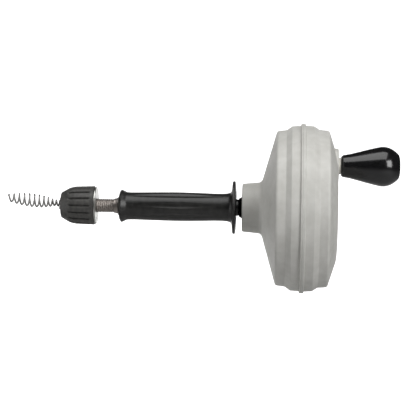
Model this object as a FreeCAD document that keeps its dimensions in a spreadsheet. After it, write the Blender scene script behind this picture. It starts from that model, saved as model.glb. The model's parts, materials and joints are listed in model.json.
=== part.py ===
import FreeCAD, Part
import math
import operator
import os
from types import SimpleNamespace

import Sketcher

# Hand drum auger: a drum of coiled snake on a hollow spindle, with a free-turning hand grip, a
# three-jaw chuck at the front and a cranking knob on the drum's back.
# X runs along the spindle from the auger tip to the knob, Z is up, the origin is the grip's middle.
# Lengths are millimetres and angles are degrees.

DIMENSIONS = {
    # stations along the spindle
    "chuck_front": -115.7,
    "grip_front": -58.0,
    "drum_front": 66.8,
    "seam_offset": 59.1,
    "drum_length": 93.9,
    # snake and its bulb auger
    "snake_radius": 3.175,
    "auger_wire_radius": 0.95,
    "auger_tilt": 5.5,
    "auger_reach": 49.8,
    "auger_turns": 10.5,
    "auger_closing": 0.088,
    "auger_end_radius": 2.5,
    "bulb_turns": 9.5,
    "bulb_swell": 3.5,
    "lead_front": -117.0,
    "lead_rear": 96.0,
    "coil_radius": 70.8,
    "layer_step": 6.9,
    "coil_pitch": 6.6,
    "coil_start": 145.5,
    "anchor_inset": 1.2,
    # spindle
    "tube_radius": 7.0,
    "tube_bore": 4.3,
    "tube_front": -90.5,
    "tube_rear": 79.5,
    "thread_pitch": 2.0,
    "thread_depth": 1.15,
    "front_thread_end": -61.5,
    "rear_thread_start": 63.2,
    "flange_nut_thickness": 3.5,
    "nut_thickness": 6.5,
    "washer_thickness": 1.5,
    # chuck
    "sleeve_length": 34.4,
    "sleeve_radius": 19.1,
    "sleeve_bore": 15.0,
    "sleeve_mouth": 8.9,
    "sleeve_slot_width": 1.7,
    "slot_count": 16,
    "slot_phase": 95.0,
    "ring_front": 14.7,
    "ring_width": 6.0,
    "jaw_count": 3,
    "jaw_radius": 2.5,
    "jaw_angle": 15.0,
    "jaw_line_radius": 4.5,
    "jaw_grip_radius": 3.5,
    "jaw_length": 21.5,
    "jaw_overhang": 0.8,
    "running_gap": 0.1,
    "chuck_gap": 0.3,
    "plate_thickness": 1.8,
    "plate_radius": 18.7,
    "plate_screw_circle": 12.6,
    "plate_screw_radius": 1.25,
    "plate_screw_length": 6.4,
    "plate_screw_head_radius": 2.6,
    "plate_recess_depth": 0.9,
    # grip
    "grip_radius": 13.7,
    "grip_swell": 14.6,
    "lip_radius": 16.4,
    "guard_radius": 26.5,
    "grip_length": 118.8,
    "liner_radius": 10.8,
    "bush_radius": 9.2,
    "bush_length": 16.0,
    "flute_count": 8,
    "flute_phase": 73.5,
    "flute_middle": 58.0,
    "flute_length": 84.0,
    "flute_depth": 0.88,
    "flute_width": 5.4,
    # drum
    "wall": 3.0,
    "neck_radius": 24.0,
    "front_tier_radius": 77.1,
    "rim_radius": 82.0,
    "rear_tier_radius": 78.8,
    "bead_radius": 84.6,
    "rear_flat_radius": 53.2,
    "crank_radius": 44.5,
    "crank_angle": 16.7,
    "boss_radius": 17.0,
    "boss_height": 1.0,
    "boss_depth": 7.0,
    # crank knob
    "bolt_radius": 4.0,
    "knob_radius": 19.85,
    "knob_length": 57.9,
    "knob_washer_radius": 8.1,
    "knob_washer_thickness": 2.1,
}


class Size:
    """A number together with the sheet expression that gives it."""

    def __init__(self, value, text):
        self.value = value
        self.text = text

    def join(self, sign, other):
        work = {"+": operator.add, "-": operator.sub, "*": operator.mul, "/": operator.truediv}[sign]
        right = as_size(other)
        return Size(work(self.value, right.value), f"({self.text} {sign} {right.text})")

    def __add__(self, other):
        return self.join("+", other)

    def __sub__(self, other):
        return self.join("-", other)

    def __mul__(self, other):
        return self.join("*", other)

    def __truediv__(self, other):
        return self.join("/", other)


def as_size(number):
    return number if isinstance(number, Size) else Size(float(number), f"{float(number):.4f}")


doc = FreeCAD.newDocument("hand_drum_auger")
sheet = doc.addObject("Spreadsheet::Sheet", "dims")
for row, (alias, number) in enumerate(DIMENSIONS.items(), 1):
    sheet.set(f"A{row}", alias)
    sheet.set(f"B{row}", str(number))
    sheet.setAlias(f"B{row}", alias)
doc.recompute()
dims = SimpleNamespace(**{name: Size(value, f"dims.{name}") for name, value in DIMENSIONS.items()})
parts = []

X_AXIS = FreeCAD.Vector(1, 0, 0)
Y_AXIS = FreeCAD.Vector(0, 1, 0)


# ---------------------------------------------------------------- helpers

def place(thing, along=0.0, across=0.0, up=0.0, turn=0.0):
    """Puts an object at a point, turned about X, with its position bound to the sheet."""
    spot = [as_size(number) for number in (along, across, up)]
    rotation = FreeCAD.Rotation(X_AXIS, as_size(turn).value)
    thing.Placement = FreeCAD.Placement(FreeCAD.Vector(*[size.value for size in spot]), rotation)
    for letter, size in zip("xyz", spot):
        thing.setExpression(f"Placement.Base.{letter}", size.text)
    return thing


def keep(thing, label):
    thing.Label = label
    parts.append(thing)
    return thing


def on_plane(body, name, role):
    sketch = body.newObject("Sketcher::SketchObject", name)
    plane = next(feature for feature in body.Origin.OriginFeatures if feature.Role == role)
    sketch.AttachmentSupport = [(plane, "")]
    sketch.MapMode = "FlatFace"
    return sketch


def pin_point(sketch, geometry, end, spot):
    """Fixes a sketch point by its two distances from the origin, bound to the sheet."""
    for kind, number in zip(("DistanceX", "DistanceY"), spot):
        size = as_size(number)
        index = sketch.addConstraint(Sketcher.Constraint(kind, -1, 1, geometry, end, size.value))
        if isinstance(number, Size):
            sketch.setExpression(f"Constraints[{index}]", size.text)


def draw(sketch, outline):
    """Closes an outline of corners. A third item in a corner is a point that the next side, an
    arc, passes through."""
    corners = [FreeCAD.Vector(as_size(item[0]).value, as_size(item[1]).value, 0) for item in outline]
    sides = []
    for index, item in enumerate(outline):
        start = corners[index]
        finish = corners[(index + 1) % len(corners)]
        if len(item) == 3:
            middle = FreeCAD.Vector(*[as_size(number).value for number in item[2]], 0)
            side = sketch.addGeometry(Part.Arc(start, middle, finish), False)
        else:
            side = sketch.addGeometry(Part.LineSegment(start, finish), False)
        first_end = 1 if (sketch.getPoint(side, 1) - start).Length < 1e-6 else 2
        sides.append((side, first_end))
    for index, (side, first_end) in enumerate(sides):
        next_side, next_end = sides[(index + 1) % len(sides)]
        sketch.addConstraint(Sketcher.Constraint("Coincident", side, 3 - first_end, next_side, next_end))
        pin_point(sketch, side, first_end, outline[index][:2])
    for index, item in enumerate(outline):
        if len(item) == 3:
            middle = FreeCAD.Vector(*[as_size(number).value for number in item[2]], 0)
            mark = sketch.addGeometry(Part.Point(middle), True)
            pin_point(sketch, mark, 1, item[2])
            sketch.addConstraint(Sketcher.Constraint("PointOnObject", mark, 1, sides[index][0]))
    return sketch


def draw_circle(sketch, across, up, radius):
    centre = FreeCAD.Vector(as_size(across).value, as_size(up).value, 0)
    circle = sketch.addGeometry(Part.Circle(centre, FreeCAD.Vector(0, 0, 1), radius.value), False)
    index = sketch.addConstraint(Sketcher.Constraint("Radius", circle, radius.value))
    sketch.setExpression(f"Constraints[{index}]", radius.text)
    pin_point(sketch, circle, 3, (across, up))


def spin(body, name, outline, kind="PartDesign::Revolution"):
    """Turns an outline of (along, radius) corners about the body's X axis."""
    sketch = draw(on_plane(body, f"{name}_outline", "XZ_Plane"), outline)
    feature = body.newObject(kind, name)
    feature.Profile = sketch
    feature.ReferenceAxis = (sketch, ["H_Axis"])
    feature.Angle = 360
    doc.recompute()
    return feature


def turned(label, outline, **spot):
    """A turned piece, placed and kept."""
    body = doc.addObject("PartDesign::Body", label)
    spin(body, f"{label}_turning", outline)
    return keep(place(body, **spot), label)


def dress(body, kind, amount, rings):
    """Fillets or chamfers the round edges found at the (along, radius) rings."""
    base = body.Tip
    names = []
    for number, edge in enumerate(base.Shape.Edges, 1):
        curve = edge.Curve
        if not isinstance(curve, Part.Circle):
            continue
        for along, ring in rings:
            near_x = abs(curve.Center.x - as_size(along).value) < 0.02
            if near_x and abs(curve.Radius - as_size(ring).value) < 0.02:
                names.append(f"Edge{number}")
    feature = body.newObject(kind, f"{body.Name}_dress")
    feature.Base = (base, names)
    setattr(feature, "Radius" if kind.endswith("Fillet") else "Size", as_size(amount).value)
    doc.recompute()
    return feature


def repeat(body, feature, count):
    """Repeats a feature round the body's X axis."""
    pattern = body.newObject("PartDesign::PolarPattern", f"{feature.Name}_ring")
    pattern.Originals = [feature]
    pattern.Axis = (feature.Profile[0], ["H_Axis"])
    pattern.Angle = 360
    pattern.setExpression("Occurrences", count.text)
    body.Tip = pattern
    doc.recompute()
    return pattern


def expect_cut(body, volume_before, least):
    """Stops the build when the body's last features took away less than the least volume."""
    if body.Tip.Shape.Volume > volume_before - least:
        raise ValueError(f"{body.Label} lost less than {least} cubic millimetres")


def cylinder(name, radius, length, along=0.0, across=0.0, up=0.0):
    """A Part cylinder along X."""
    solid = doc.addObject("Part::Cylinder", name)
    solid.setExpression("Radius", as_size(radius).text)
    solid.setExpression("Height", as_size(length).text)
    place(solid, along, across, up)
    solid.Placement.Rotation = FreeCAD.Rotation(Y_AXIS, 90)
    return solid


def cut(name, base, tools):
    """Takes tools, one or a list, out of a base object."""
    tool = tools
    if isinstance(tools, list):
        tool = doc.addObject("Part::MultiFuse", f"{name}_tools")
        tool.Shapes = tools
    result = doc.addObject("Part::Cut", name)
    result.Base = base
    result.Tool = tool
    return result


def around(count, radius, start=0.0):
    """Points spread evenly on a circle about X, the first one at the top."""
    for index in range(count):
        angle = math.radians(start + index * 360 / count)
        yield -radius * math.sin(angle), radius * math.cos(angle)


def hex_nut(label, along, corner_radius, thickness, bore, across=0.0, up=0.0):
    """A hexagon nut on an axis parallel to X."""
    blank = doc.addObject("Part::Prism", f"{label}_blank")
    blank.Polygon = 6
    blank.setExpression("Circumradius", as_size(corner_radius).text)
    blank.setExpression("Height", as_size(thickness).text)
    place(blank, along, across, up)
    blank.Placement.Rotation = FreeCAD.Rotation(Y_AXIS, 90)
    hole = cylinder(f"{label}_hole", bore, thickness, along, across, up)
    return keep(cut(label, blank, hole), label)


def ring(label, along, outer, inner, thickness, across=0.0, up=0.0):
    """A plain washer on an axis parallel to X."""
    blank = cylinder(f"{label}_blank", outer, thickness, along, across, up)
    hole = cylinder(f"{label}_hole", inner, thickness, along, across, up)
    return keep(cut(label, blank, hole), label)


def winding(crossings):
    """The path of a wire wound about X as half turns. Each half turn is a semicircle between two
    crossings of the XZ plane, and meets the next one in the Y direction, so the bends are smooth.
    A crossing is (along, height), with the height's sign giving the side."""
    path = []
    toward = -1
    for (start_x, start_z), (end_x, end_z) in zip(crossings, crossings[1:]):
        start = FreeCAD.Vector(start_x, 0, start_z)
        finish = FreeCAD.Vector(end_x, 0, end_z)
        middle = (start + finish) / 2 + Y_AXIS * (toward * (finish - start).Length / 2)
        path.append(Part.Arc(start, middle, finish).toShape())
        toward = -toward
    return path


def tube_along(path, radius):
    """A round bar swept along a smooth wire of arcs and straight runs."""
    wire = Part.Wire(path)
    first = path[0]
    start = first.valueAt(first.FirstParameter)
    heading = first.tangentAt(first.FirstParameter)
    section = Part.Wire(Part.makeCircle(radius, start, heading))
    solid = wire.makePipeShell([section], True, True)
    expected = math.pi * radius ** 2 * wire.Length
    if abs(solid.Volume / expected - 1) > 0.01:
        raise ValueError(f"a swept bar has volume {solid.Volume:.0f}, not {expected:.0f}")
    return solid


def solid_piece(label, shape, placement=None):
    """A piece whose shape Part's own functions make."""
    piece = doc.addObject("Part::Feature", label)
    piece.Shape = shape
    if placement is not None:
        piece.Placement = placement
    return keep(piece, label)


# ---------------------------------------------------------------- spindle

def make_spindle():
    """The hollow spindle, threaded at the front for the chuck and at the rear for the nuts."""
    body = doc.addObject("PartDesign::Body", "spindle_tube")
    length = dims.tube_rear - dims.tube_front
    spin(body, "tube", [(0, dims.tube_bore), (0, dims.tube_radius),
                        (length, dims.tube_radius), (length, dims.tube_bore)])
    end_chamfer = 0.8
    dress(body, "PartDesign::Chamfer", end_chamfer, [(0, dims.tube_radius), (length, dims.tube_radius)])
    half_gap = dims.thread_pitch * 0.44
    crest = dims.tube_radius + 0.2
    root = dims.tube_radius - dims.thread_depth
    stretches = {
        "front_thread": (dims.thread_pitch * -0.5, dims.front_thread_end - dims.tube_front),
        "rear_thread": (dims.rear_thread_start - dims.tube_front, dims.tube_rear - dims.rear_thread_start),
    }
    for name, (start, reach) in stretches.items():
        before = body.Tip.Shape.Volume
        sketch = draw(on_plane(body, f"{name}_form", "XZ_Plane"),
                      [(start - half_gap, crest), (start + half_gap, crest), (start, root)])
        thread = body.newObject("PartDesign::SubtractiveHelix", name)
        thread.Profile = sketch
        thread.ReferenceAxis = (sketch, ["H_Axis"])
        thread.Mode = 0
        thread.Pitch = dims.thread_pitch.value
        thread.Height = reach.value
        doc.recompute()
        expect_cut(body, before, 100)
    keep(place(body, dims.tube_front), "spindle_tube")


def make_spindle_fittings():
    """The flared collar before the grip, and the flange nut, washer and lock nut on the drum's neck."""
    bore = dims.tube_radius
    collar_length = 3.8
    turned("front_collar",
           [(0, bore), (0, bore + 0.3), (1.6, bore + 0.4), (collar_length, bore + 1.1),
            (collar_length, bore)],
           along=dims.front_thread_end)
    thickness = dims.flange_nut_thickness
    turned("neck_flange_nut",
           [(0, bore), (0, 8.8), (0.4, 9.2), (thickness, 11.1), (thickness, bore)],
           along=dims.drum_front - thickness)
    inside = dims.drum_front + dims.wall
    washer_radius = 13.0
    nut_corner_radius = 11.0
    ring("neck_washer", inside, washer_radius, bore, dims.washer_thickness)
    hex_nut("neck_lock_nut", inside + dims.washer_thickness, nut_corner_radius, dims.nut_thickness, bore)


# ---------------------------------------------------------------- chuck

def make_chuck_sleeve():
    """The ribbed sleeve: a domed nose, a straight ribbed barrel and a bore for the ring nut."""
    body = doc.addObject("PartDesign::Body", "chuck_sleeve")
    length = dims.sleeve_length
    barrel = dims.sleeve_radius
    face = 12.3
    dome_end = (9.6, barrel - 1.5)
    rear_edge = (length, barrel + 0.35)
    spin(body, "sleeve", [
        (0, dims.sleeve_mouth), (0, face), dome_end, (15.0, barrel - 0.25), rear_edge,
        (length, dims.sleeve_bore), (dims.ring_front - dims.chuck_gap, dims.sleeve_bore),
        (dims.ring_front - 5.0, 12.9), (1.6, dims.sleeve_mouth),
    ])
    dress(body, "PartDesign::Fillet", 2.2, [(0, face)])
    dress(body, "PartDesign::Fillet", 14.0, [dome_end])
    dress(body, "PartDesign::Fillet", 0.8, [rear_edge])
    before = body.Tip.Shape.Volume
    sketch = draw(on_plane(body, "slot_outline", "XZ_Plane"), [
        (8.4, barrel + 1.5), (8.4, barrel - 2.3), (12.0, barrel - 2.3), (15.0, barrel - 1.9),
        (28.5, barrel - 1.7), (30.9, barrel + 1.5),
    ])
    slot = body.newObject("PartDesign::Pocket", "slot")
    slot.Profile = sketch
    slot.Midplane = True
    slot.setExpression("Length", dims.sleeve_slot_width.text)
    doc.recompute()
    repeat(body, slot, dims.slot_count)
    expect_cut(body, before, 200)
    keep(place(body, dims.chuck_front, turn=dims.slot_phase), "chuck_sleeve")


def screw_spots():
    """Where the back plate's screws are, across and up."""
    return around(3, dims.plate_screw_circle.value, 60)


def jaw_line(along):
    """How far from the spindle's axis a jaw's own axis is, a distance behind the chuck's front."""
    return dims.jaw_line_radius.value + along * math.tan(math.radians(dims.jaw_angle.value))


def inclined(name, radius, start, length, angle_about):
    """A cylinder on a jaw's slanted axis, from a distance behind the chuck's front."""
    solid = doc.addObject("Part::Cylinder", name)
    solid.setExpression("Radius", as_size(radius).text)
    solid.setExpression("Height", as_size(length).text)
    base = FreeCAD.Vector(dims.chuck_front.value + start, 0, jaw_line(start))
    lean = FreeCAD.Rotation(Y_AXIS, 90 - dims.jaw_angle.value)
    about = FreeCAD.Rotation(X_AXIS, angle_about)
    solid.Placement = FreeCAD.Placement(about.multVec(base), about * lean)
    return solid


def make_chuck_body():
    """The core that the spindle screws into, with a slanted bore for each jaw."""
    blank = doc.addObject("PartDesign::Body", "chuck_core")
    bore = 3.9
    nose = 8.4
    groove = 10.4
    collar = dims.sleeve_bore - dims.running_gap
    groove_front = dims.ring_front - dims.chuck_gap
    groove_rear = dims.ring_front + dims.ring_width + dims.chuck_gap
    tube_seat = dims.tube_front - dims.chuck_front
    end = dims.sleeve_length + dims.chuck_gap
    spin(blank, "core", [
        (0.6, bore), (0.6, nose - 0.4), (1.0, nose), (4.0, nose), (groove_front, 12.0),
        (groove_front, groove), (groove_rear, groove), (groove_rear, collar),
        (end, collar), (end, dims.tube_radius), (tube_seat, dims.tube_radius), (tube_seat, bore),
    ])
    place(blank, dims.chuck_front)
    holes = []
    for index in range(int(dims.jaw_count.value)):
        holes.append(inclined(f"jaw_bore_{index + 1}", dims.jaw_radius + dims.running_gap,
                              -4.0, 35.0, 120 * index))
    hole_depth = 6.0
    for index, (across, up) in enumerate(screw_spots()):
        holes.append(cylinder(f"core_screw_hole_{index + 1}", dims.plate_screw_radius, hole_depth,
                              dims.chuck_front + end - hole_depth, across, up))
    keep(cut("chuck_body", blank, holes), "chuck_body")


def make_jaws():
    """Three rods on the slanted axes, each with a flat that grips the snake."""
    for index in range(int(dims.jaw_count.value)):
        name = f"chuck_jaw_{index + 1}"
        rod = inclined(f"{name}_rod", dims.jaw_radius, -6.0, 40.0, 120 * index)
        width = 12
        block = doc.addObject("Part::Box", f"{name}_limits")
        block.setExpression("Length", dims.jaw_length.text)
        block.Width = width
        block.Height = 20
        front = dims.chuck_front - dims.jaw_overhang
        corner = FreeCAD.Vector(front.value, -width / 2, dims.jaw_grip_radius.value)
        about = FreeCAD.Rotation(X_AXIS, 120 * index)
        block.Placement = FreeCAD.Placement(about.multVec(corner), about)
        jaw = doc.addObject("Part::Common", name)
        jaw.Base = rod
        jaw.Tool = block
        keep(jaw, name)


def make_ring_nut():
    """The ring whose conical bore drives the jaws."""
    slope = math.radians(dims.jaw_angle.value)
    clearance = 0.35
    entry = jaw_line(dims.ring_front.value) + dims.jaw_radius.value / math.cos(slope) + clearance
    slope_rise = dims.ring_width.value * math.tan(slope)
    turned("chuck_ring_nut",
           [(0, entry), (0, dims.sleeve_bore), (dims.ring_width, dims.sleeve_bore),
            (dims.ring_width, entry + slope_rise)],
           along=dims.chuck_front + dims.ring_front)


def make_back_plate():
    """The bright plate behind the sleeve, with a recess for the head of each of its screws."""
    front = dims.chuck_front + dims.sleeve_length + dims.chuck_gap
    thickness = dims.plate_thickness
    rim = dims.plate_radius
    blank = doc.addObject("PartDesign::Body", "plate_blank")
    spin(blank, "plate", [(0, dims.tube_radius), (0, rim), (thickness, rim), (thickness, dims.tube_radius)])
    dress(blank, "PartDesign::Chamfer", 0.4, [(0, rim), (thickness, rim)])
    place(blank, front)
    recess_floor = front + thickness - dims.plate_recess_depth
    hole_radius = dims.plate_screw_radius + 0.35
    recess_radius = dims.plate_screw_head_radius + 0.2
    holes = []
    for index, (across, up) in enumerate(screw_spots(), 1):
        holes.append(cylinder(f"plate_hole_{index}", hole_radius, thickness, front, across, up))
        holes.append(cylinder(f"plate_recess_{index}", recess_radius, dims.plate_recess_depth,
                              recess_floor, across, up))
    keep(cut("chuck_back_plate", blank, holes), "chuck_back_plate")
    make_plate_screws(recess_floor)


def make_plate_screws(recess_floor):
    """The back plate's screws, each a slotted flat head on a shank."""
    head_radius = dims.plate_screw_head_radius
    head_height = 0.8
    slot_width = 0.7
    slot_depth = 0.4
    screws = []
    for index, (across, up) in enumerate(screw_spots(), 1):
        shank = cylinder(f"plate_screw_shank_{index}", dims.plate_screw_radius, dims.plate_screw_length,
                         recess_floor - dims.plate_screw_length, across, up)
        head = cylinder(f"plate_screw_head_{index}", head_radius, head_height, recess_floor, across, up)
        slot = doc.addObject("Part::Box", f"plate_screw_slot_{index}")
        slot.Length = slot_depth + 0.1
        slot.Width = head_radius.value * 2 + 0.2
        slot.Height = slot_width
        place(slot, recess_floor + head_height - slot_depth,
              across - slot.Width.Value / 2, up - slot_width / 2)
        screw = doc.addObject("Part::Fuse", f"plate_screw_{index}")
        screw.Base = cut(f"plate_screw_slotted_{index}", head, slot)
        screw.Tool = shank
        screws.append(screw)
    group = doc.addObject("Part::Compound", "back_plate_screws")
    group.Links = screws
    keep(group, "back_plate_screws")


# ---------------------------------------------------------------- grip

def make_grip():
    """The soft grip: a flared lip, a fluted palm swell and a round guard, on a bore for its liner."""
    body = doc.addObject("PartDesign::Body", "grip_handle")
    end = dims.grip_length
    waist = dims.grip_radius
    guard = end - 2.2
    rim = dims.guard_radius
    spin(body, "grip", [
        (0, dims.bush_radius + 0.3), (0, dims.bush_radius + 0.4, (1.4, 13.4)),
        (3.6, dims.lip_radius - 0.3), (4.3, dims.lip_radius - 0.3, (6.2, 14.7)),
        (12.0, waist), (22.0, waist, (60.0, dims.grip_swell)),
        (94.0, waist), (106.0, waist, (110.4, 14.2)),
        (113.2, 15.8, (114.0, 16.8)), (114.4, 18.4), (guard - 1.0, rim - 0.6), (guard - 0.5, rim),
        (guard + 0.5, rim), (guard + 1.0, rim - 0.6), (end - 0.3, 18.0), (end, 17.4),
        (end, dims.liner_radius),
        (1.5, dims.liner_radius), (1.5, dims.bush_radius + 0.3),
    ])
    depth = dims.flute_depth
    section_radius = dims.flute_width * dims.flute_width / (depth * 8) + depth / 2
    centre_height = dims.grip_swell - depth + section_radius
    before = body.Tip.Shape.Volume
    sketch = on_plane(body, "flute_section", "YZ_Plane")
    sketch.AttachmentOffset = FreeCAD.Placement(
        FreeCAD.Vector(0, 0, dims.flute_middle.value), FreeCAD.Rotation())
    draw_circle(sketch, 0, centre_height, section_radius)
    flute = body.newObject("PartDesign::Pocket", "flute")
    flute.Profile = sketch
    flute.Midplane = True
    flute.setExpression("Length", dims.flute_length.text)
    doc.recompute()
    pattern = body.newObject("PartDesign::PolarPattern", "flutes")
    pattern.Originals = [flute]
    pattern.Axis = (next(item for item in body.Origin.OriginFeatures if item.Role == "X_Axis"), [""])
    pattern.Angle = 360
    pattern.setExpression("Occurrences", dims.flute_count.text)
    body.Tip = pattern
    doc.recompute()
    expect_cut(body, before, 500)
    keep(place(body, dims.grip_front, turn=dims.flute_phase), "grip_handle")


def make_grip_inner():
    """The rigid liner inside the grip and the two bushes that turn on the spindle."""
    lip_wall = 1.5
    liner_length = dims.grip_length - lip_wall
    turned("grip_liner",
           [(0, dims.bush_radius), (0, dims.liner_radius),
            (liner_length, dims.liner_radius), (liner_length, dims.bush_radius)],
           along=dims.grip_front + lip_wall)
    bore = dims.tube_radius + 0.05
    length = dims.bush_length
    turned("front_bush",
           [(0, bore), (0, dims.bush_radius), (length, dims.bush_radius), (length, bore)],
           along=dims.grip_front + 0.5)
    grip_end = dims.grip_front + dims.grip_length
    nose = length + (dims.drum_front - dims.flange_nut_thickness - dims.running_gap - grip_end)
    nose_radius = 8.3
    chamfer = 0.6
    turned("rear_bush",
           [(0, bore), (0, dims.bush_radius), (length, dims.bush_radius), (length, nose_radius),
            (nose - chamfer, nose_radius), (nose, nose_radius - chamfer), (nose, bore)],
           along=grip_end - length)


# ---------------------------------------------------------------- drum

def hollow(body, seam):
    """Leaves a wall of even thickness, open at the flat seam face."""
    base = body.Tip
    names = []
    for number, face in enumerate(base.Shape.Faces, 1):
        flat = isinstance(face.Surface, Part.Plane)
        if flat and abs(face.CenterOfMass.x - as_size(seam).value) < 0.01:
            names.append(f"Face{number}")
    feature = body.newObject("PartDesign::Thickness", f"{body.Name}_wall")
    feature.Base = (base, names)
    feature.setExpression("Value", dims.wall.text)
    feature.Reversed = True
    feature.Mode = 0
    feature.Join = 0
    doc.recompute()
    return feature


def make_front_shell():
    """The front half: a neck round the spindle, a steep cone and two stepped tiers."""
    body = doc.addObject("PartDesign::Body", "drum_front_shell")
    seam = dims.seam_offset
    tier = dims.front_tier_radius
    rim = dims.rim_radius
    neck_start = (0, dims.neck_radius)
    neck_end = (19.15, dims.neck_radius + 1.8)
    cone_end = (33.8, tier)
    step_start = (43.3, tier + 1.05)
    step_end = (48.6, rim)
    spin(body, "front", [
        (0, 0), neck_start, neck_end, cone_end, step_start, step_end, (seam, rim + 0.7), (seam, 0),
    ])
    hollow(body, seam)
    dress(body, "PartDesign::Fillet", 1.5, [neck_start])
    dress(body, "PartDesign::Fillet", 5.0, [neck_end])
    dress(body, "PartDesign::Fillet", 3.2, [cone_end])
    dress(body, "PartDesign::Fillet", 1.2, [step_start, step_end])
    spin(body, "front_bead", [
        (seam - 1.5, rim - 1.5), (seam - 1.5, dims.bead_radius - 0.4),
        (seam - 1.1, dims.bead_radius), (seam - 0.35, dims.bead_radius), (seam, dims.bead_radius - 0.35),
        (seam, rim - 1.5),
    ])
    lip = rim - 2.3
    spin(body, "seam_lip", [
        (seam - 6.0, lip), (seam - 5.0, lip - 1.4), (seam + 4.0, lip - 1.4), (seam + 4.0, lip),
    ])
    spin(body, "spindle_hole", [
        (-1, 0), (-1, dims.tube_radius + 0.05), (dims.wall + 1, dims.tube_radius + 0.05), (dims.wall + 1, 0),
    ], "PartDesign::Groove")
    keep(place(body, dims.drum_front), "drum_front_shell")


def make_rear_shell():
    """The rear half: two stepped tiers, a shallow cone and a raised pad for the crank knob."""
    body = doc.addObject("PartDesign::Body", "rear_moulding")
    rim = dims.rim_radius
    tier = dims.rear_tier_radius
    depth = dims.drum_length - dims.seam_offset
    step_start = (11.6, rim + 0.35)
    step_end = (16.9, tier)
    tier_end = (26.5, tier - 0.7)
    spin(body, "rear", [
        (0, 0), (0, rim + 1.05), step_start, step_end, tier_end,
        (depth - 0.3, dims.rear_flat_radius), (depth, dims.rear_flat_radius - 1.7), (depth, 0),
    ])
    hollow(body, 0)
    dress(body, "PartDesign::Fillet", 1.2, [step_start, step_end])
    dress(body, "PartDesign::Fillet", 3.2, [tier_end])
    spin(body, "rear_bead", [
        (0, rim - 1.2), (0, dims.bead_radius - 0.35), (0.35, dims.bead_radius),
        (2.6, dims.bead_radius), (3.1, dims.bead_radius - 0.5), (3.1, rim - 1.2),
    ])
    sketch = on_plane(body, "knob_pad_outline", "YZ_Plane")
    sketch.AttachmentOffset = FreeCAD.Placement(
        FreeCAD.Vector(0, 0, (depth + dims.boss_height).value), FreeCAD.Rotation())
    draw_circle(sketch, 0, dims.crank_radius, dims.boss_radius)
    pad = body.newObject("PartDesign::Pad", "knob_pad")
    pad.Profile = sketch
    pad.setExpression("Length", dims.boss_depth.text)
    pad.Reversed = True
    pad.TaperAngle = 8
    doc.recompute()
    dress(body, "PartDesign::Fillet", 1.0, [(depth + dims.boss_height, dims.boss_radius)])
    place(body, dims.drum_front + dims.seam_offset, turn=dims.crank_angle)
    pad_face = dims.drum_front + dims.drum_length + dims.boss_height
    hole = cylinder("bolt_hole", dims.bolt_radius + 0.05, 20.0, pad_face - 16.0, *crank_point())
    keep(cut("drum_rear_shell", body, hole), "drum_rear_shell")


def crank_point():
    """Where the crank knob's axis is, across and up."""
    angle = math.radians(dims.crank_angle.value)
    reach = dims.crank_radius.value
    return -reach * math.sin(angle), reach * math.cos(angle)


# ---------------------------------------------------------------- crank knob

def make_knob():
    """The crank knob, its bush and its washer on the drum's pad."""
    across, up = crank_point()
    pad_face = dims.drum_front + dims.drum_length + dims.boss_height
    end_play = 0.25
    knob_front = pad_face + dims.knob_washer_thickness + end_play
    full = dims.knob_radius
    length = dims.knob_length
    bush = dims.bolt_radius + 1.5
    recess = length - 9.5
    recess_radius = 7.2
    turned("crank_knob", [
        (0, bush), (0, 9.4), (2.0, 11.0), (4.5, 11.15, (16.0, full - 5.6)),
        (36.5, full - 1.1, (40.3, full - 0.1)), (42.2, full, (50.5, full - 2.0)),
        (length, recess_radius + 1.4), (length, recess_radius), (recess, recess_radius), (recess, bush),
    ], along=knob_front, across=across, up=up)
    turned("knob_bush", [
        (0, dims.bolt_radius + 0.05), (0, bush), (recess, bush), (recess, dims.bolt_radius + 0.05),
    ], along=knob_front, across=across, up=up)
    ring("knob_washer", pad_face, dims.knob_washer_radius, dims.bolt_radius,
         dims.knob_washer_thickness, across, up)
    make_knob_bolt(pad_face - dims.boss_depth, knob_front + recess + 0.3, across, up)


def make_knob_bolt(nut_face, head_front, across, up):
    """The knob's shoulder bolt with a hexagon socket, and its washer and nut inside the drum."""
    tail = 10.0
    length = head_front - nut_face + tail
    head_radius = 6.5
    head_height = 5.0
    chamfer = 0.6
    body = doc.addObject("PartDesign::Body", "bolt_blank")
    spin(body, "bolt", [
        (0, 0), (0, dims.bolt_radius - chamfer), (chamfer, dims.bolt_radius), (length, dims.bolt_radius),
        (length, head_radius), (length + head_height - chamfer, head_radius),
        (length + head_height, head_radius - chamfer), (length + head_height, 0),
    ])
    place(body, nut_face - tail, across, up)
    socket = doc.addObject("Part::Prism", "bolt_socket")
    socket.Polygon = 6
    socket.Circumradius = 3.4
    socket.Height = 4
    place(socket, head_front + 2.0, across, up)
    socket.Placement.Rotation = FreeCAD.Rotation(Y_AXIS, 90)
    keep(cut("knob_bolt", body, socket), "knob_bolt")
    washer_face = nut_face - dims.washer_thickness
    ring("bolt_washer", washer_face, 8.0, dims.bolt_radius, dims.washer_thickness, across, up)
    hex_nut("bolt_nut", washer_face - dims.nut_thickness, 7.5, dims.nut_thickness, dims.bolt_radius,
            across, up)


# ---------------------------------------------------------------- snake

def coil_crossings():
    """The stored snake: four layers of turns, the outer one started at the back, and a last half
    turn that leaves the inner layer towards the axis."""
    half = dims.coil_pitch.value / 2
    outer = dims.coil_radius.value
    step = dims.layer_step.value
    along = dims.coil_start.value
    points = [(along, outer - dims.anchor_inset.value)]
    side = -1
    along -= half / 2
    layers = ((11, -half, outer), (9, half, outer - step),
              (9, -half, outer - 2 * step), (7, half, outer - 3 * step), (1, half, outer - 4 * step))
    for count, advance, radius in layers:
        for _ in range(count):
            along += advance
            points.append((along, side * radius))
            side = -side
    return points


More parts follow.
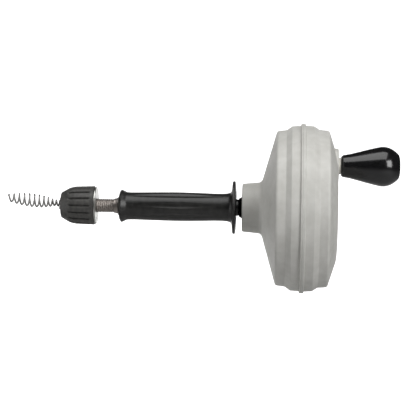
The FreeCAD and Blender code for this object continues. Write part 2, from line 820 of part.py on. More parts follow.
def rounded_route(points):
    """Straight runs through the points, with each corner rounded as widely as its runs allow."""
    edges = []
    here = points[0]
    for before, corner, after in zip(points, points[1:], points[2:]):
        arriving = (corner - before).normalize()
        leaving = (after - corner).normalize()
        turn = arriving.getAngle(leaving)
        trim = 0.45 * min((corner - before).Length, (after - corner).Length)
        start = corner - arriving * trim
        finish = corner + leaving * trim
        radius = trim / math.tan(turn / 2)
        bisector = (leaving - arriving).normalize()
        middle = corner + bisector * (radius / math.cos(turn / 2) - radius)
        edges.append(Part.LineSegment(here, start).toShape())
        edges.append(Part.Arc(start, middle, finish).toShape())
        print(f"route radius {radius:.1f} mm")
        here = finish
    edges.append(Part.LineSegment(here, points[-1]).toShape())
    return edges


def make_snake():
    """The snake: a straight lead through the chuck and spindle, a curve inside the drum and the
    coil, with the bulb auger on its front end."""
    radius = dims.snake_radius
    lead = cylinder("snake_lead", radius, dims.lead_rear - dims.lead_front, dims.lead_front)
    keep(lead, "snake_lead")
    crossings = coil_crossings()
    coil = winding(crossings)
    solid_piece("snake_coil", tube_along(coil, radius.value))
    last_x, last_z = crossings[-1]
    toward = -1 if len(crossings) % 2 else 1
    vector = FreeCAD.Vector
    route = [
        vector(last_x, 0, last_z), vector(last_x, toward * 19, last_z),
        vector(last_x + 4, toward * 37, last_z * 0.71), vector(last_x + 12, toward * 43, last_z * 0.24),
        vector(last_x + 16, toward * 32, last_z * -0.14), vector(last_x + 8, toward * 11, last_z * -0.14),
        vector(last_x - 10, 0, 0), vector(dims.lead_rear.value, 0, 0),
    ]
    curve = rounded_route(route)
    solid_piece("snake_curve", tube_along(curve, radius.value))
    stored = sum(edge.Length for edge in coil + curve) + (dims.lead_rear - dims.lead_front).value
    print(f"snake length {stored / 1000:.2f} m")


def auger_crossings():
    """The bulb auger's turns, which swell and draw in again and lie a little closer to the rear."""
    half_turns = int(2 * dims.auger_turns.value)
    closing = dims.auger_closing.value
    crossings = []
    for index in range(half_turns + 1):
        part = index / half_turns
        along = dims.auger_reach.value * part * (1 - closing * part) / (1 - closing)
        swell = math.sin(math.pi * min(1.0, index / (2 * dims.bulb_turns.value)))
        radius = dims.auger_end_radius.value + dims.bulb_swell.value * swell
        side = 1 if index % 2 == 0 else -1
        crossings.append((along, side * radius))
    return crossings


def make_auger():
    """The bulb auger: the snake's own wire opened out into a bulb, leaning up a little."""
    end_gap = 1.4
    lift = 0.75
    tilt = FreeCAD.Rotation(Y_AXIS, dims.auger_tilt.value)
    root = FreeCAD.Vector(dims.lead_front.value, 0, lift)
    base = root - tilt.multVec(X_AXIS * (dims.auger_reach.value + end_gap))
    wire = tube_along(winding(auger_crossings()), dims.auger_wire_radius.value)
    solid_piece("bulb_auger", wire, FreeCAD.Placement(base, tilt))


def make_anchor():
    """The socket that holds the snake's inner end on the drum wall, and its screw."""
    along = dims.coil_start.value
    height = dims.coil_radius.value - dims.anchor_inset.value
    block = Part.makeBox(8.8, 18.0, 7.2, FreeCAD.Vector(along - 4.4, -4.0, height - 3.4))
    bore = Part.makeCylinder(dims.snake_radius.value + 0.15, 7.5, FreeCAD.Vector(along, -5.0, height), Y_AXIS)
    up = FreeCAD.Vector(0, 0, 1)
    screw_hole = Part.makeCylinder(1.5, 12, FreeCAD.Vector(along, 9.0, height - 5), up)
    solid_piece("snake_anchor", block.cut(bore).cut(screw_hole))
    head = Part.makeCylinder(2.7, 1.6, FreeCAD.Vector(along, 9.0, height - 5.0), up)
    shank = Part.makeCylinder(1.5, 8.5, FreeCAD.Vector(along, 9.0, height - 3.4), up)
    solid_piece("anchor_screw", head.fuse(shank).removeSplitter())


# ---------------------------------------------------------------- build and write

make_spindle()
make_spindle_fittings()
make_chuck_sleeve()
make_chuck_body()
make_jaws()
make_ring_nut()
make_back_plate()
make_grip()
make_grip_inner()
make_front_shell()
make_rear_shell()
make_knob()
make_snake()
make_auger()
make_anchor()
doc.recompute()

failed = [thing.Label for thing in doc.Objects if {"Invalid", "Error"} & set(thing.State)]
failed += [piece.Label for piece in parts if piece.Shape.isNull() or not piece.Shape.isValid()]
if failed:
    raise ValueError(f"these failed: {failed}")

os.makedirs("parts", exist_ok=True)
for piece in parts:
    piece.Shape.exportStep(f"parts/{piece.Label}.step")
    print(f"{piece.Label}: {len(piece.Shape.Solids)} solid(s), {piece.Shape.Volume / 1000:.1f} cm3")
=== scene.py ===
import functools
import json
import math

import bmesh
import bpy
from mathutils import Matrix, Vector


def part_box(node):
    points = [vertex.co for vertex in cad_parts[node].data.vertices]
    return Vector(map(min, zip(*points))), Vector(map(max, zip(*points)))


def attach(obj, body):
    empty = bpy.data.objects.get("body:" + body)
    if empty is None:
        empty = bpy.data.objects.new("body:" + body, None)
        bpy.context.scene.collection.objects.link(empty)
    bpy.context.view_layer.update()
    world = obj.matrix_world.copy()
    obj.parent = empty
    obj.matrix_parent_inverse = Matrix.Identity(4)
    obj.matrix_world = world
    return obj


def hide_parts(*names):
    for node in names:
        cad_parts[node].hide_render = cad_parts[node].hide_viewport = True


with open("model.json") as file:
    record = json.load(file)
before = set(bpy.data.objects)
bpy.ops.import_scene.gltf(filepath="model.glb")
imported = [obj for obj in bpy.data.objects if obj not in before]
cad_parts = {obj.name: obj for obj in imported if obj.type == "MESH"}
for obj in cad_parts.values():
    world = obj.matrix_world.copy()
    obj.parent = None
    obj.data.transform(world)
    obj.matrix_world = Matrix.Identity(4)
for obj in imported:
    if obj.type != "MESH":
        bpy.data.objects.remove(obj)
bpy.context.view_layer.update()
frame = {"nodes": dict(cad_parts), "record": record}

MM = 0.001
TURN = 2 * math.pi


# ---------------------------------------------------------------- places from the frame

@functools.lru_cache(maxsize=None)
def corners(node):
    """A CAD node's low and high corners, as packed."""
    low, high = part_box(node)
    return Vector(low), Vector(high)


def front(node):
    """A node's foremost point along the spindle."""
    return corners(node)[0].x


def back(node):
    """A node's rearmost point along the spindle."""
    return corners(node)[1].x


def reach(node):
    """The outer radius of a node that is turned about the spindle."""
    return corners(node)[1].z


def thickness(node):
    """The outer radius of a node that is turned about an axis parallel to the spindle."""
    low, high = corners(node)
    return (high.z - low.z) / 2


def node_axis(node):
    """Where a node's own axis, parallel to X, crosses the YZ plane."""
    low, high = corners(node)
    return (low.y + high.y) / 2, (low.z + high.z) / 2


# ---------------------------------------------------------------- materials

class Finish:
    """A material whose nodes are added one effect at a time."""

    def __init__(self, name, roughness, metallic=0.0, coat=0.0, coat_roughness=0.03, ior=1.5):
        self.material = bpy.data.materials.new(name)
        self.material.use_nodes = True
        self.tree = self.material.node_tree
        self.shader = self.tree.nodes["Principled BSDF"]
        self.shader.inputs["Metallic"].default_value = metallic
        self.shader.inputs["Roughness"].default_value = roughness
        self.shader.inputs["Coat Weight"].default_value = coat
        self.shader.inputs["Coat Roughness"].default_value = coat_roughness
        self.shader.inputs["IOR"].default_value = ior
        self.place = self.tree.nodes.new("ShaderNodeTexCoord").outputs["Object"]
        self.normal = None

    def add(self, kind, **inputs):
        node = self.tree.nodes.new(kind)
        for name, value in inputs.items():
            self.feed(node.inputs[name.replace("_", " ")], value)
        return node

    def feed(self, socket, value):
        if isinstance(value, bpy.types.NodeSocket):
            self.tree.links.new(value, socket)
        else:
            socket.default_value = value

    def noise(self, size, detail=3.0, stretch=(1, 1, 1), roughness=0.5):
        """Noise with features of a size in metres, stretched along the axes."""
        mapping = self.add("ShaderNodeMapping", Vector=self.place, Scale=stretch)
        texture = self.add("ShaderNodeTexNoise", Vector=mapping.outputs[0], Scale=1 / size,
                           Detail=detail, Roughness=roughness)
        return texture.outputs["Fac"]

    def ramp(self, value, stops):
        """Colours or grey levels that a value runs through, each at its own position."""
        node = self.tree.nodes.new("ShaderNodeValToRGB")
        self.tree.links.new(value, node.inputs["Fac"])
        points = node.color_ramp.elements
        while len(points) < len(stops):
            points.new(0.5)
        for point, (position, colour) in zip(points, stops):
            point.position = position
            point.color = (*colour, 1) if isinstance(colour, tuple) else (colour, colour, colour, 1)
        return node.outputs["Color"]

    def mix(self, factor, first, second, blend="MIX"):
        """Two colours mixed, or blended in another way."""
        node = self.tree.nodes.new("ShaderNodeMix")
        node.data_type = "RGBA"
        node.blend_type = blend
        for name, value in (("Factor_Float", factor), ("A_Color", first), ("B_Color", second)):
            socket = next(item for item in node.inputs if item.identifier == name)
            if isinstance(value, tuple):
                value = (*value, 1)
            self.feed(socket, value)
        return next(item for item in node.outputs if item.identifier == "Result_Color")

    def colour(self, value):
        socket = self.shader.inputs["Base Color"]
        if isinstance(value, tuple):
            value = (*value, 1)
        self.feed(socket, value)

    def rough(self, value, low, high):
        """Roughness that follows a value between two limits."""
        node = self.add("ShaderNodeMapRange")
        self.feed(node.inputs["Value"], value)
        node.inputs["To Min"].default_value = low
        node.inputs["To Max"].default_value = high
        self.feed(self.shader.inputs["Roughness"], node.outputs["Result"])

    def bump(self, height, depth, strength=1.0):
        """Relief of a depth in metres. Calls stack."""
        node = self.tree.nodes.new("ShaderNodeBump")
        node.inputs["Strength"].default_value = strength
        node.inputs["Distance"].default_value = depth
        self.tree.links.new(height, node.inputs["Height"])
        if self.normal is not None:
            self.tree.links.new(self.normal, node.inputs["Normal"])
        self.normal = node.outputs["Normal"]
        self.tree.links.new(self.normal, self.shader.inputs["Normal"])


def drum_plastic():
    """Pale grey moulded plastic: fine matte grain, faint cloudy mottling and a few dark specks."""
    finish = Finish("drum_plastic", 0.55, ior=1.46)
    clouds = finish.ramp(finish.noise(22 * MM, 4),
                         [(0.3, (0.52, 0.515, 0.485)), (0.7, (0.60, 0.595, 0.565))])
    blotches = finish.ramp(finish.noise(6 * MM, 3),
                           [(0.35, (0.90, 0.90, 0.89)), (0.65, (1.0, 1.0, 1.0))])
    specks = finish.ramp(finish.noise(0.9 * MM, 2), [(0.25, 0.86), (0.36, 1.0)])
    base = finish.mix(0.6, clouds, blotches, "MULTIPLY")
    finish.colour(finish.mix(0.5, base, specks, "MULTIPLY"))
    finish.rough(finish.noise(4 * MM, 3), 0.46, 0.66)
    finish.bump(finish.noise(9 * MM, 2), 0.12 * MM, 0.6)
    finish.bump(finish.noise(0.45 * MM, 3), 0.02 * MM, 0.7)
    return finish.material


def grip_vinyl():
    """Black soft vinyl with a fine skin, a little dust in it and worn patches that shine."""
    finish = Finish("grip_vinyl", 0.42, ior=1.5)
    dust = finish.ramp(finish.noise(5 * MM, 4),
                       [(0.35, (0.009, 0.009, 0.0085)), (0.75, (0.021, 0.021, 0.0195))])
    finish.colour(dust)
    finish.rough(finish.noise(12 * MM, 3, (0.5, 1, 1)), 0.30, 0.44)
    finish.bump(finish.noise(0.6 * MM, 3), 0.03 * MM, 0.7)
    finish.bump(finish.noise(7 * MM, 2), 0.15 * MM, 0.5)
    return finish.material


def sleeve_plastic():
    """Charcoal glass-filled plastic, dry, with slightly chalky patches."""
    finish = Finish("sleeve_plastic", 0.5, ior=1.5)
    chalk = finish.ramp(finish.noise(3 * MM, 5),
                        [(0.35, (0.044, 0.044, 0.042)), (0.75, (0.084, 0.081, 0.075))])
    finish.colour(chalk)
    finish.rough(finish.noise(2 * MM, 3), 0.42, 0.62)
    finish.bump(finish.noise(0.35 * MM, 3), 0.03 * MM, 0.7)
    return finish.material


def knob_plastic():
    """Polished black phenolic: a clear skin over black, with a faint ripple and fine hairlines."""
    finish = Finish("knob_plastic", 0.2, coat=0.35, coat_roughness=0.05, ior=1.46)
    depths = finish.ramp(finish.noise(4 * MM, 3),
                         [(0.3, (0.004, 0.004, 0.004)), (0.7, (0.008, 0.008, 0.009))])
    finish.colour(depths)
    finish.rough(finish.noise(0.8 * MM, 3, (0.3, 1, 1)), 0.17, 0.24)
    finish.bump(finish.noise(9 * MM, 1), 0.10 * MM, 0.35)
    finish.bump(finish.noise(0.25 * MM, 2, (0.1, 1, 1)), 0.004 * MM, 0.3)
    return finish.material


def black_acetal():
    """Turned engineering plastic with fine tool rings."""
    finish = Finish("black_acetal", 0.3, ior=1.48)
    finish.colour(finish.ramp(finish.noise(3 * MM, 3), [(0.3, 0.012), (0.7, 0.01875)]))
    finish.rough(finish.noise(1.5 * MM, 3), 0.22, 0.4)
    finish.bump(finish.noise(0.2 * MM, 2, (1, 0.05, 0.05)), 0.01 * MM, 0.5)
    return finish.material


def steel(name, dark, bright, roughness, tool_marks, stain=0.0):
    """Metal with a cloudy surface, turning marks round the spindle and an optional brown stain."""
    finish = Finish(name, roughness, metallic=1.0)
    tone = finish.ramp(finish.noise(2.5 * MM, 4), [(0.3, dark), (0.7, bright)])
    if stain:
        brown = (0.16, 0.11, 0.08)
        patches = finish.ramp(finish.noise(1.6 * MM, 5), [(0.45, 0.0), (0.62, stain)])
        tone = finish.mix(patches, tone, brown)
    finish.colour(tone)
    finish.rough(finish.noise(1.2 * MM, 3), roughness * 0.75, roughness * 1.3)
    finish.bump(finish.noise(0.25 * MM, 2, (1, 0.04, 0.04)), 0.015 * MM, tool_marks)
    finish.bump(finish.noise(0.8 * MM, 3), 0.02 * MM, 0.35)
    return finish.material


def white_nylon():
    """Off-white nylon, faintly yellowed."""
    finish = Finish("white_nylon", 0.4, ior=1.53)
    yellowing = finish.ramp(finish.noise(3 * MM, 3),
                            [(0.3, (0.60, 0.58, 0.52)), (0.7, (0.70, 0.68, 0.62))])
    finish.colour(yellowing)
    finish.rough(finish.noise(2 * MM, 3), 0.32, 0.5)
    finish.bump(finish.noise(0.5 * MM, 2), 0.015 * MM, 0.5)
    return finish.material


MATERIALS = {
    "drum_plastic": drum_plastic(),
    "grip_vinyl": grip_vinyl(),
    "sleeve_plastic": sleeve_plastic(),
    "knob_plastic": knob_plastic(),
    "black_acetal": black_acetal(),
    "white_nylon": white_nylon(),
    # name, dark and bright tones, roughness, tool marks and stain
    "spindle_steel": steel("spindle_steel", (0.33, 0.30, 0.28), (0.42, 0.39, 0.365), 0.46,
                           0.3, 0.2),
    "plated_steel": steel("plated_steel", (0.42, 0.42, 0.40), (0.60, 0.60, 0.575), 0.36, 0.3),
    "chuck_steel": steel("chuck_steel", (0.26, 0.26, 0.26), (0.40, 0.40, 0.39), 0.36, 0.4, 0.2),
    "screw_steel": steel("screw_steel", (0.24, 0.24, 0.24), (0.42, 0.42, 0.41), 0.32, 0.2),
    "blackened_steel": steel("blackened_steel", (0.020, 0.020, 0.022), (0.045, 0.045, 0.046),
                             0.32, 0.3),
    "snake_wire": steel("snake_wire", (0.28, 0.28, 0.275), (0.46, 0.455, 0.44), 0.42, 0.0, 0.15),
}


# ---------------------------------------------------------------- mesh tools

def rounded(corners, steps=6):
    """A closed outline of (along, radius[, round]) corners, with arcs at the rounded corners."""
    outline = []
    count = len(corners)
    for index, corner in enumerate(corners):
        here = Vector(corner[:2])
        if len(corner) < 3:
            outline.append(here)
            continue
        arriving = (here - Vector(corners[index - 1][:2])).normalized()
        leaving = (Vector(corners[(index + 1) % count][:2]) - here).normalized()
        turn = arriving.angle(leaving)
        trim = corner[2] * math.tan(turn / 2)
        start = here - arriving * trim
        side = Vector((-arriving.y, arriving.x))
        if side.dot(leaving) < 0:
            side = -side
        centre = start + side * corner[2]
        first = start - centre
        spin = 1 if arriving.x * leaving.y - arriving.y * leaving.x > 0 else -1
        for step in range(steps + 1):
            angle = spin * turn * step / steps
            turned = Vector((first.x * math.cos(angle) - first.y * math.sin(angle),
                             first.x * math.sin(angle) + first.y * math.cos(angle)))
            outline.append(centre + turned)
    return outline


def curve_through(points, steps=8):
    """Smooth (Catmull-Rom) points between the given ones, ends included."""
    line = []
    for index in range(len(points) - 1):
        before = Vector(points[max(index - 1, 0)])
        here = Vector(points[index])
        there = Vector(points[index + 1])
        after = Vector(points[min(index + 2, len(points) - 1)])
        for step in range(steps):
            t = step / steps
            line.append(0.5 * ((2 * here) + (there - before) * t
                               + (2 * before - 5 * here + 4 * there - after) * t ** 2
                               + (3 * here - before - 3 * there + after) * t ** 3))
    line.append(Vector(points[-1]))
    return line


def finer(outline, longest):
    """Divides an outline's long sides."""
    result = []
    for here, there in zip(outline, outline[1:] + outline[:1]):
        pieces = max(1, math.ceil((there - here).length / longest))
        result += [here.lerp(there, index / pieces) for index in range(pieces)]
    return result


def even_angles(count):
    """A full turn's angles, evenly spread."""
    return [TURN * index / count for index in range(count)]


def lathe(outline, angles, centre=(0.0, 0.0), shape=None):
    """A closed mesh from a closed outline of (along, radius) points turned about an axis parallel
    to X. shape(along, angle, radius) may give a new radius. Angles run from +Z towards -Y."""
    mesh = bmesh.new()
    rings = []
    for angle in angles:
        ring = []
        for point in outline:
            radius = point.y if shape is None else shape(point.x, angle, point.y)
            ring.append(mesh.verts.new((point.x, centre[0] - radius * math.sin(angle),
                                        centre[1] + radius * math.cos(angle))))
        rings.append(ring)
    for ring, following in zip(rings, rings[1:] + rings[:1]):
        for index in range(len(outline)):
            after = (index + 1) % len(outline)
            mesh.faces.new((ring[index], ring[after], following[after], following[index]))
    bmesh.ops.recalc_face_normals(mesh, faces=mesh.faces)
    return mesh


def bar_along(path, radius, sides):
    """A closed round bar along a list of points."""
    mesh = bmesh.new()
    rings = []
    side = None
    for index, point in enumerate(path):
        heading = (path[min(index + 1, len(path) - 1)] - path[max(index - 1, 0)]).normalized()
        if side is None:
            side = heading.orthogonal().normalized()
        side = (side - heading * side.dot(heading)).normalized()
        other = heading.cross(side)
        size = radius(index) if callable(radius) else radius
        rings.append([mesh.verts.new(point + side * (size * math.cos(TURN * k / sides))
                                     + other * (size * math.sin(TURN * k / sides)))
                      for k in range(sides)])
    for ring, following in zip(rings, rings[1:]):
        for k in range(sides):
            after = (k + 1) % sides
            mesh.faces.new((ring[k], ring[after], following[after], following[k]))
    mesh.faces.new(list(reversed(rings[0])))
    mesh.faces.new(rings[-1])
    bmesh.ops.recalc_face_normals(mesh, faces=mesh.faces)
    return mesh


def smooth(thing, crease=40.0):
    """Smooth shading, with edges sharper than a crease angle kept sharp."""
    mesh = thing.data
    mesh.polygons.foreach_set("use_smooth", [True] * len(mesh.polygons))
    mesh.set_sharp_from_angle(angle=math.radians(crease))


def piece(name, mesh, body, slot, *replaced, crease=40.0):
    """A visible piece made from a bmesh, riding a body in place of some CAD nodes."""
    data = bpy.data.meshes.new(name)
    mesh.to_mesh(data)
    mesh.free()
    thing = bpy.data.objects.new(name, data)
    bpy.context.collection.objects.link(thing)
    smooth(thing, crease)
    data.materials.append(MATERIALS[slot])
    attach(thing, body)
    if replaced:
        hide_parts(*replaced)


# ---------------------------------------------------------------- grip

GRIP_WAIST = 13.7 * MM
GRIP_SWELL = 14.6 * MM
GUARD_SHOULDER = 22.4 * MM
FLUTE_COUNT = 8
FLUTE_PHASE = math.radians(86)
FLUTE_DEPTH = 1.0 * MM
FLUTE_WIDTH = 7.2 * MM
FLUTE_START = 16 * MM
FLUTE_END = 103 * MM


def flute_floor(angle):
    """Radius of the nearest flute's round floor at an angle, or None beside the flute."""
    step = TURN / FLUTE_COUNT
    away = (angle - FLUTE_PHASE + step / 2) % step - step / 2
    section = FLUTE_WIDTH ** 2 / (8 * FLUTE_DEPTH) + FLUTE_DEPTH / 2
    height = GRIP_SWELL - FLUTE_DEPTH + section
    inside = section ** 2 - (height * math.sin(away)) ** 2
    if inside <= 0:
        return None
    return height * math.cos(away) - math.sqrt(inside)


def soft_minimum(first, second, blend):
    """The smaller of two values, rounded over where they meet."""
    mixed = max(blend - abs(first - second), 0.0) / blend
    return min(first, second) - mixed * mixed * blend / 4


def grip_shape(along, angle, radius):
    """Sinks the flutes into the waist's outside, with soft edges."""
    fluted = FLUTE_START < along - front("grip_handle") < FLUTE_END
    if not fluted or radius < GRIP_WAIST - 1.5 * MM:
        return radius
    floor = flute_floor(angle)
    return radius if floor is None else soft_minimum(radius, floor, 0.35 * MM)


def make_grip():
    """One vinyl moulding: flared lip, fluted waist with a palm swell, and a thin round guard."""
    start = front("grip_handle")
    end = back("grip_handle")
    bore = reach("grip_liner")
    mouth = reach("front_bush") + 0.35 * MM
    guard = end - 2.2 * MM
    guard_radius = reach("grip_handle")
    lip = start + 3.9 * MM
    face = start + 1.1 * MM
    rim_and_flare = curve_through([
        (face, mouth), (face + 0.3 * MM, 11.4 * MM), (face + 0.8 * MM, 13.5 * MM),
        (lip - 1.2 * MM, 15.2 * MM), (lip - 0.4 * MM, 16.1 * MM), (lip + 0.2 * MM, 16.4 * MM),
        (lip + 1.0 * MM, 16.0 * MM), (lip + 2.6 * MM, 15.3 * MM), (lip + 4.2 * MM, 14.5 * MM),
        (lip + 5.6 * MM, 13.95 * MM), (start + 13 * MM, GRIP_WAIST + 0.02 * MM)], 5)
    waist = curve_through([(start + 16 * MM, GRIP_WAIST), (start + 36 * MM, 14.2 * MM),
                           (start + 60 * MM, GRIP_SWELL), (start + 80 * MM, 14.25 * MM),
                           (start + 97 * MM, GRIP_WAIST)], 30)
    root = curve_through([(start + 104 * MM, GRIP_WAIST), (start + 109.5 * MM, 14.05 * MM),
                          (guard - 3.6 * MM, 15.2 * MM), (guard - 2.3 * MM, 17.6 * MM),
                          (guard - 1.85 * MM, GUARD_SHOULDER),
                          (guard - 1.4 * MM, guard_radius - 0.8 * MM)], 6)
    rim = curve_through([(guard - 1.1 * MM, guard_radius - 0.25 * MM), (guard, guard_radius),
                         (guard + 1.1 * MM, guard_radius - 0.25 * MM)], 4)
    rear = curve_through([(guard + 1.4 * MM, guard_radius - 0.8 * MM),
                          (guard + 1.8 * MM, GUARD_SHOULDER),
                          (guard + 2.0 * MM, 18.4 * MM), (end, 17.2 * MM)], 5)
    inner = [Vector((end, bore)), Vector((face + 1.2 * MM, bore)), Vector((face + 1.2 * MM, mouth))]
    outline = rim_and_flare + waist + root + rim + rear + inner
    mesh = lathe(outline, even_angles(FLUTE_COUNT * 40), shape=grip_shape)
    piece("grip", mesh, "grip", "grip_vinyl", "grip_handle", crease=50)


# ---------------------------------------------------------------- chuck

SLOT_COUNT = 16
SLOT_PHASE = math.radians(92)
SLOT_HALF_WIDTH = 0.85 * MM
SLOT_DEPTH = 2.0 * MM
SLOT_START = 8.6 * MM
SLOT_END = 31.1 * MM
SLOT_LEAD_IN = 3.0 * MM
SLOT_RUN_OUT = 2.4 * MM
SLOT_EDGE = 0.32 * MM
RIB_CROWN = 0.22 * MM
NOSE_SETBACK = 0.8 * MM


def slot_angles(radius):
    """Angles that follow each slot's walls closely."""
    step = TURN / SLOT_COUNT
    half = SLOT_HALF_WIDTH / radius
    offsets = [0.0, half * 0.5, half * 0.82, half * 0.97, half * 1.12, half * 1.35, half * 1.8]
    offsets = [-value for value in reversed(offsets[1:])] + offsets
    gap = step - 2 * offsets[-1]
    offsets += [offsets[-1] + gap * part / 6 for part in range(1, 6)]
    angles = []
    for index in range(SLOT_COUNT):
        angles += [SLOT_PHASE + step * index + offset for offset in offsets]
    return angles


def sleeve_shape(along, angle, radius):
    """Sinks the slots into the sleeve's outside and crowns the ribs between them a little."""
    start = front("chuck_sleeve")
    inside = reach("chuck_ring_nut") * min(1, (along - start) / (14 * MM) + 0.62) + 0.2 * MM
    if radius < max(inside, 9.5 * MM):
        return radius
    where = along - start
    lead_in = min(max((where - SLOT_START) / SLOT_LEAD_IN, 0.0), 1.0)
    run_out = min(max((SLOT_END - where) / SLOT_RUN_OUT, 0.0), 1.0)
    depth = SLOT_DEPTH * math.sin(lead_in * math.pi / 2) * math.sin(run_out * math.pi / 2)
    step = TURN / SLOT_COUNT
    away = abs((angle - SLOT_PHASE + step / 2) % step - step / 2) * radius
    edge = (away - SLOT_HALF_WIDTH) / SLOT_EDGE
    wall = 1 / (1 + math.exp(max(min(edge * 4, 30), -30)))
    crown = RIB_CROWN * (1 - math.cos(TURN * away / (step * radius))) / 2
    return radius - depth * wall + crown * lead_in * run_out - crown * 0.3


def make_sleeve():
    """The ribbed chuck sleeve: a short nose, a cone and a barrel with long tapered slots."""
    start = front("chuck_sleeve") + NOSE_SETBACK
    end = back("chuck_sleeve")
    bore = reach("chuck_ring_nut")
    ring = front("chuck_ring_nut")
    barrel = reach("chuck_sleeve") - 0.3 * MM
    mouth = 8.9 * MM
    shell = rounded([
        (start, mouth, 0.4 * MM), (start, 12.5 * MM, 1.8 * MM),
        (start + 8.6 * MM, barrel - 1.7 * MM, 8 * MM),
        (start + 14.6 * MM, barrel - 0.4 * MM, 14 * MM), (end, barrel + 0.3 * MM, 0.6 * MM),
        (end, bore, 0.3 * MM), (ring - 0.3 * MM, bore, 0.3 * MM),
        (ring - 5 * MM, 12.9 * MM, 0.3 * MM), (front("chuck_sleeve") + 1.6 * MM, mouth, 0.3 * MM),
    ])
    mesh = lathe(finer(shell, 0.7 * MM), slot_angles(barrel), shape=sleeve_shape)
    piece("chuck_grip_sleeve", mesh, "chuck_sleeve", "sleeve_plastic", "chuck_sleeve", crease=60)


# ---------------------------------------------------------------- spindle

THREAD_PITCH = 2.0 * MM
THREAD_DEPTH = 0.75 * MM
CREST_FLAT = 0.12
SPINDLE_BORE = 4.3 * MM


def make_spindle():
    """The hollow spindle with rolled threads at both ends, rounded at crest and root."""
    start = front("spindle_tube")
    end = back("spindle_tube")
    crest = reach("spindle_tube")
    threads = [(start, front("front_collar") + 0.5 * MM), (front("neck_flange_nut"), end)]

    def shape(along, angle, radius):
        if radius < crest - 0.1 * MM:
            return radius
        for first, last in threads:
            if first <= along <= last:
                fade = min((along - first) / MM, (last - along) / MM, 1.0)
                phase = (along / THREAD_PITCH - angle / TURN) % 1.0
                tooth = abs(2 * phase - 1)
                flank = min(max((tooth - CREST_FLAT) / (1 - 2 * CREST_FLAT), 0.0), 1.0)
                return crest - THREAD_DEPTH * (0.5 - 0.5 * math.cos(math.pi * flank)) * fade
        return radius

    stations = []
    position = start
    while position < end:
        stations.append(position)
        threaded = any(first - MM < position < last + MM for first, last in threads)
        position += 0.18 * MM if threaded else 2.5 * MM
    outline = [Vector((station, crest)) for station in stations] + [Vector((end, crest))]
    outline += [Vector((end, SPINDLE_BORE)), Vector((start, SPINDLE_BORE))]
    mesh = lathe(outline, even_angles(64), shape=shape)
    piece("threaded_spindle", mesh, "rotor", "spindle_steel", "spindle_tube", crease=70)


# ---------------------------------------------------------------- crank knob

def make_knob():
    """The pear-shaped crank knob: a chamfered foot, and a recess for its bolt at the far end."""
    start = front("crank_knob")
    end = back("crank_knob")
    axis = node_axis("crank_knob")
    full = thickness("crank_knob")
    bush = thickness("knob_bush")
    recess = back("knob_bush")
    flank = curve_through([(start + 2.2 * MM, 11.05 * MM), (start + 9 * MM, 12.3 * MM),
                           (start + 17 * MM, 14.35 * MM), (start + 27 * MM, 17.0 * MM),
                           (start + 36 * MM, 19.15 * MM), (start + 40.5 * MM, full),
                           (start + 45 * MM, 19.45 * MM), (start + 49.5 * MM, 17.9 * MM),
                           (start + 53.6 * MM, 15.2 * MM), (start + 56.8 * MM, 11.9 * MM),
                           (end - 0.15 * MM, 9.4 * MM)], 8)
    foot = [Vector((start, bush)), Vector((start, 9.3 * MM)),
            Vector((start + 0.25 * MM, 9.65 * MM)), Vector((start + 1.8 * MM, 10.9 * MM))]
    far = [Vector((end, 8.9 * MM)), Vector((end, 7.6 * MM)), Vector((end - 0.3 * MM, 7.25 * MM)),
           Vector((recess, 7.2 * MM)), Vector((recess, bush))]
    mesh = lathe(foot + flank + far, even_angles(128), axis)
    piece("crank_handle", mesh, "knob", "knob_plastic", "crank_knob", crease=50)


# ---------------------------------------------------------------- snake

WIRE = 0.9 * MM
AUGER_TURNS = 11.3
AUGER_PITCH = 5.35 * MM
AUGER_CLOSING = 0.00095
BULB_TURNS = 9.5
AUGER_END_RADIUS = 2.7 * MM
BULB_SWELL = 3.4 * MM
BULB_FULLNESS = 0.85
AUGER_START_TURN = 0.15
AUGER_LEAN = math.radians(5.5)
LEAN_PIVOT = -0.1012


def auger_path():
    """The bulb auger's wire: a right-hand helix that swells, draws in again and leans up."""
    tip = front("bulb_auger") - 0.5 * MM
    stations = 34
    points = []
    for index in range(int(AUGER_TURNS * stations) + 1):
        turn = index / stations
        along = tip + AUGER_PITCH * turn * (1 - AUGER_CLOSING * turn ** 2)
        swell = math.sin(math.pi * min(1.0, turn / BULB_TURNS)) ** BULB_FULLNESS
        radius = AUGER_END_RADIUS + BULB_SWELL * swell
        angle = TURN * (turn - AUGER_START_TURN)
        lift = (LEAN_PIVOT - along) * math.tan(AUGER_LEAN)
        points.append(Vector((along, -radius * math.sin(angle), lift + radius * math.cos(angle))))
    return points


def make_snake():
    """The snake in the chuck and spindle, a close-wound wire, and the bulb auger on its end."""
    def tip_taper(index):
        """The wire's radius, which grows to its full size over the first few stations."""
        return WIRE * min(1.0, 0.72 + index * 0.07)

    piece("auger_wire", bar_along(auger_path(), tip_taper, 12), "snake_head", "snake_wire",
          "bulb_auger", crease=60)
    start = front("snake_lead") + 0.6 * MM
    end = back("snake_lead") - WIRE
    winding = reach("snake_lead") - WIRE
    pitch = WIRE * 2.04
    stations = 20
    turns = (end - start) / pitch
    points = []
    for index in range(int(turns * stations) + 1):
        angle = TURN * index / stations
        along = start + pitch * index / stations
        points.append(Vector((along, -winding * math.sin(angle), winding * math.cos(angle))))
    piece("wound_snake", bar_along(points, WIRE, 7), "snake_head", "snake_wire", "snake_lead",
          crease=60)


# ---------------------------------------------------------------- the other CAD nodes

def finish_nodes():
    """Gives each CAD node that stays visible the material of its slot."""
    slots = {entry["node"]: entry["material_slot"] for entry in frame["record"]["subparts"]}
    for name, thing in frame["nodes"].items():
        for place in thing.material_slots:
            place.material = MATERIALS[slots[name]]


# ---------------------------------------------------------------- stage, light and camera

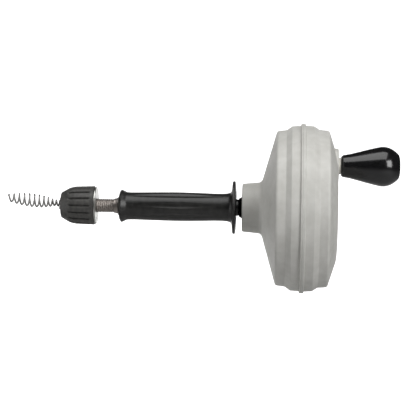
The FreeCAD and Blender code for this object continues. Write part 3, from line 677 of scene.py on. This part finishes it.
CAMERA_DISTANCE = 1.54
CAMERA_ALONG = 0.105
AIM_ALONG = 0.0320
AIM_HEIGHT = -0.0004
CAMERA_ROLL = math.radians(0.9)
FIELD_WIDTH = 0.415
SENSOR_WIDTH = 36.0
FLOOR_DROP = 0.42
FLOOR_HALF_WIDTH = 5.0
BACKDROP_GAP = 1.1
BACKDROP_HALF_WIDTH = 0.62
SURROUND_LIGHT = 0.025
OBJECT_MIDDLE = Vector((0.03, 0, 0))


def make_camera():
    """The camera beside the drum, level with the spindle, turned a little towards the auger."""
    data = bpy.data.cameras.new("camera")
    data.sensor_width = SENSOR_WIDTH
    data.lens = SENSOR_WIDTH * CAMERA_DISTANCE / FIELD_WIDTH
    camera = bpy.data.objects.new("camera", data)
    bpy.context.collection.objects.link(camera)
    place = Vector((CAMERA_ALONG, -CAMERA_DISTANCE, 0))
    aim = Vector((AIM_ALONG, 0, AIM_HEIGHT)) - place
    upright = aim.to_track_quat("-Z", "Y").to_matrix().to_4x4()
    camera.matrix_world = Matrix.Translation(place) @ upright @ Matrix.Rotation(CAMERA_ROLL, 4, "Z")
    bpy.context.scene.camera = camera


def softbox(name, place, size, power):
    """A rectangular soft light that faces the object's middle."""
    data = bpy.data.lights.new(name, "AREA")
    data.shape = "RECTANGLE"
    data.size, data.size_y = size
    data.energy = power
    light = bpy.data.objects.new(name, data)
    bpy.context.collection.objects.link(light)
    light.location = place
    light.rotation_mode = "QUATERNION"
    light.rotation_quaternion = (OBJECT_MIDDLE - Vector(place)).to_track_quat("-Z", "Y")


def stage_sheet(name, outline, material):
    """A flat sheet of the stage with a given outline."""
    mesh = bmesh.new()
    mesh.faces.new([mesh.verts.new(point) for point in outline])
    data = bpy.data.meshes.new(name)
    mesh.to_mesh(data)
    mesh.free()
    sheet = bpy.data.objects.new(name, data)
    bpy.context.collection.objects.link(sheet)
    data.materials.append(material)


def make_stage():
    """A pale floor, a glowing white backdrop just wide enough for the camera, and softboxes."""
    paper = Finish("paper", 0.9)
    paper.colour(paper.ramp(paper.noise(0.2, 2), [(0.3, 0.53), (0.7, 0.57)]))
    side = FLOOR_HALF_WIDTH
    stage_sheet("floor", [(-side, -side, -FLOOR_DROP), (side, -side, -FLOOR_DROP),
                          (side, side, -FLOOR_DROP), (-side, side, -FLOOR_DROP)], paper.material)
    glow = Finish("glow", 0.9)
    glow.colour((0.9, 0.9, 0.9))
    glow.shader.inputs["Emission Color"].default_value = (1, 1, 1, 1)
    glow.shader.inputs["Emission Strength"].default_value = 1.0
    half = BACKDROP_HALF_WIDTH
    stage_sheet("backdrop", [(-half, BACKDROP_GAP, -FLOOR_DROP), (half, BACKDROP_GAP, -FLOOR_DROP),
                             (half, BACKDROP_GAP, half), (-half, BACKDROP_GAP, half)],
                glow.material)

    world = bpy.data.worlds.new("surround")
    world.use_nodes = True
    world.node_tree.nodes["Background"].inputs["Color"].default_value = (1, 1, 1, 1)
    world.node_tree.nodes["Background"].inputs["Strength"].default_value = SURROUND_LIGHT
    bpy.context.scene.world = world
    softbox("overhead", (0.0, -0.5, 1.12), (1.3, 1.1), 12.4)
    softbox("key", (0.95, -1.0, 0.38), (0.6, 0.8), 11.5)
    softbox("left_fill", (-1.7, -0.1, -0.1), (0.9, 0.9), 9)
    bpy.context.scene.view_settings.view_transform = "Standard"


make_grip()
make_sleeve()
make_spindle()
make_knob()
make_snake()
finish_nodes()
make_camera()
make_stage()
